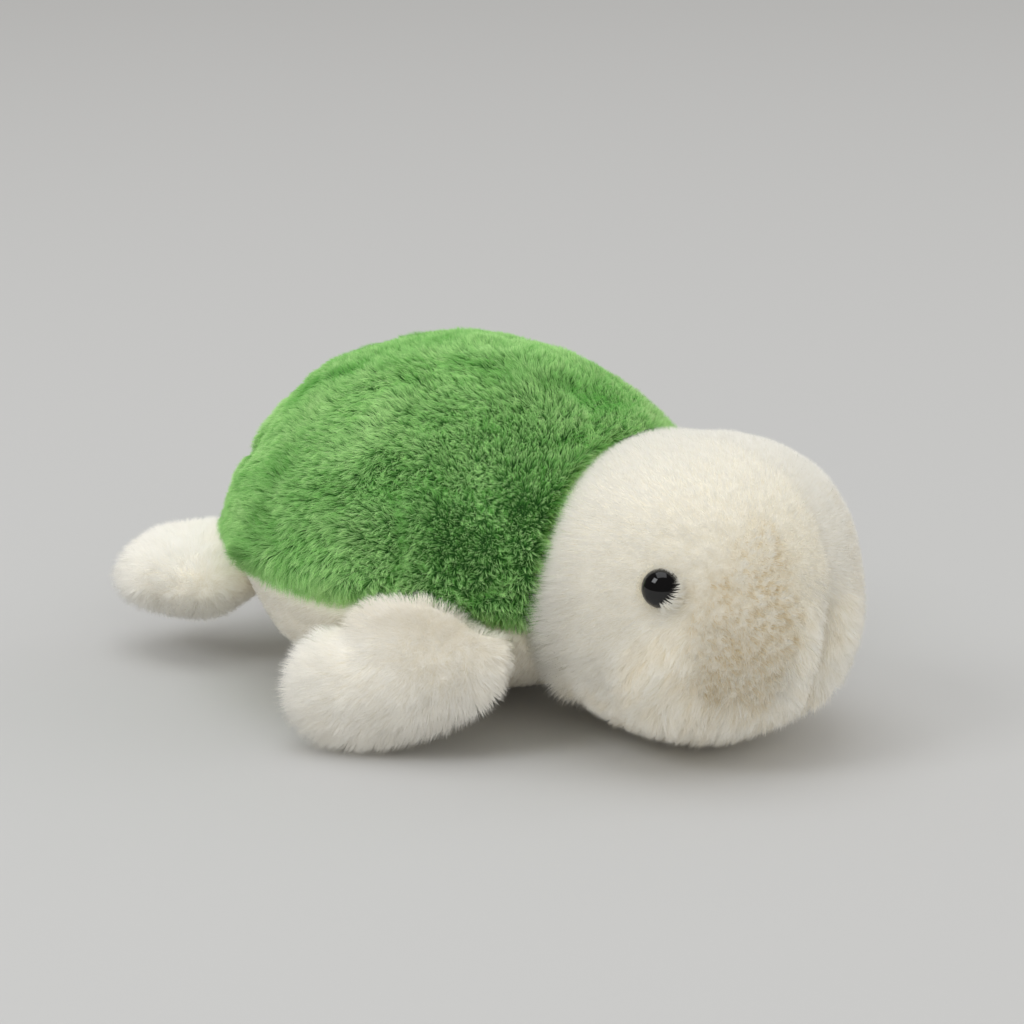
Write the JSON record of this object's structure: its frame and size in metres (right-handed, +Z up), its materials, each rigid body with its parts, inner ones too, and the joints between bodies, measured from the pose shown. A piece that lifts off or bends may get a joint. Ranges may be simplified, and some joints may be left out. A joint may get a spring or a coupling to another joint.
{
  "type": "plush turtle",
  "caption": "Stuffed plush turtle with a domed shell, cream belly, ball head turned on the body, glossy safety eyes and hinged soft flippers.",
  "frame": {"origin": "bottom centre of the bounding box, on the floor", "axes": "+Y from the head to the rear flippers, +Z up, +X towards the turtle's left side"},
  "size_m": [0.1902, 0.267, 0.12],
  "materials": {
    "green_plush": "long pile",
    "cream_plush": "long pile",
    "wadding": "loose fibre",
    "eye_plastic": "polished",
    "washer_plastic": "moulded"
  },
  "bodies": {
    "body": {"shell_cover": "green_plush", "belly_cover": "cream_plush", "body_filling": "wadding"},
    "head": {"head_cover_right": "cream_plush", "head_cover_left": "cream_plush", "head_filling": "wadding", "eye_right": "eye_plastic", "eye_left": "eye_plastic", "eye_washer_right": "washer_plastic", "eye_washer_left": "washer_plastic"},
    "front_right_flipper": {"front_right_flipper_top": "cream_plush", "front_right_flipper_bottom": "cream_plush", "front_right_flipper_filling": "wadding"},
    "front_left_flipper": {"front_left_flipper_top": "cream_plush", "front_left_flipper_bottom": "cream_plush", "front_left_flipper_filling": "wadding"},
    "rear_right_flipper": {"rear_right_flipper_top": "cream_plush", "rear_right_flipper_bottom": "cream_plush", "rear_right_flipper_filling": "wadding"},
    "rear_left_flipper": {"rear_left_flipper_top": "cream_plush", "rear_left_flipper_bottom": "cream_plush", "rear_left_flipper_filling": "wadding"}
  },
  "joints": [
    {"name": "head_turn", "type": "hinge", "parent": "body", "child": "head", "pos_m": [0, -0.08005, 0.05], "axis": [0, 0, 1], "range_deg": [-15, 15], "stiffness_Nm_per_rad": 0.15},
    {"name": "front_right_swing", "type": "hinge", "parent": "body", "child": "front_right_flipper", "pos_m": [-0.05398, -0.04655, 0.044], "axis": [0, 0, 1], "range_deg": [-3, 35], "stiffness_Nm_per_rad": 0.04},
    {"name": "front_left_swing", "type": "hinge", "parent": "body", "child": "front_left_flipper", "pos_m": [0.05398, -0.04655, 0.044], "axis": [0, 0, -1], "range_deg": [-3, 35], "stiffness_Nm_per_rad": 0.04},
    {"name": "rear_right_flap", "type": "hinge", "parent": "body", "child": "rear_right_flipper", "pos_m": [-0.03198, 0.0825, 0.03101], "axis": [1, 0, 0], "range_deg": [-15, 15], "stiffness_Nm_per_rad": 0.04},
    {"name": "rear_left_flap", "type": "hinge", "parent": "body", "child": "rear_left_flipper", "pos_m": [0.03198, 0.0825, 0.03101], "axis": [1, 0, 0], "range_deg": [-15, 15], "stiffness_Nm_per_rad": 0.04}
  ]
}
